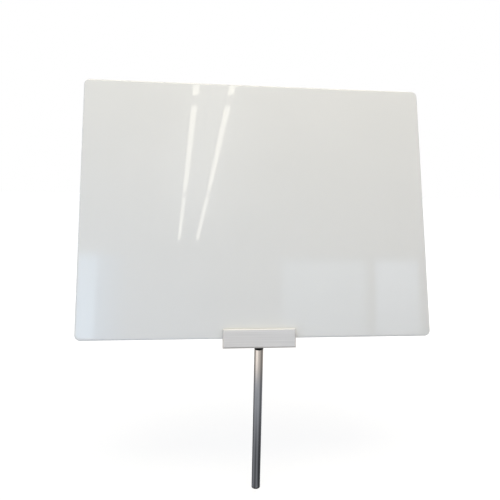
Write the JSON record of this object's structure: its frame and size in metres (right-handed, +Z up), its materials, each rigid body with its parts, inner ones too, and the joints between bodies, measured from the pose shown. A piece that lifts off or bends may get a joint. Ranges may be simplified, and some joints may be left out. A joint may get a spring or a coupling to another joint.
{
  "type": "sneeze guard",
  "caption": "Sneeze guard: a flat shield with rounded corners, gripped at its lower edge by an aluminium clamp bar that tilts with friction on the head of a round post with a threaded foot.",
  "frame": {"origin": "centre of the post's foot, at the mouth of the foot's thread", "axes": "+Z up the post, +X along the sheet to the right seen from the front, +Y to the rear, the way the sheet leans"},
  "size_m": [0.6, 0.1728, 0.7039],
  "materials": {
    "acrylic_sheet": "gloss",
    "jaw_aluminium": "satin",
    "gasket_rubber": "matte",
    "screw_steel": "satin",
    "sleeve_nylon": "satin",
    "bar_steel": "satin",
    "insert_nylon": "satin",
    "thread_brass": "satin",
    "post_stainless": "polished"
  },
  "bodies": {
    "post": {"post_tube": "post_stainless", "foot_insert": "insert_nylon", "foot_thread_sleeve": "thread_brass", "top_insert": "insert_nylon", "top_thread_sleeve": "thread_brass", "post_eye": "bar_steel", "pivot_bar": "bar_steel", "bar_pin": "bar_steel"},
    "guard": {"panel": "acrylic_sheet", "front_jaw": "jaw_aluminium", "rear_jaw": "jaw_aluminium", "front_gasket": "gasket_rubber", "rear_gasket": "gasket_rubber", "jaw_screw_1": "screw_steel", "jaw_screw_2": "screw_steel", "jaw_screw_3": "screw_steel", "jaw_screw_4": "screw_steel", "jaw_washer_1": "screw_steel", "jaw_washer_2": "screw_steel", "jaw_washer_3": "screw_steel", "jaw_washer_4": "screw_steel", "friction_sleeve_left": "sleeve_nylon", "friction_sleeve_right": "sleeve_nylon"}
  },
  "joints": [
    {"name": "panel_tilt", "type": "hinge", "parent": "post", "child": "guard", "pos_m": [0, 0, 0.2745], "axis": [-1, 0, 0], "range_deg": [-20, 50]}
  ]
}
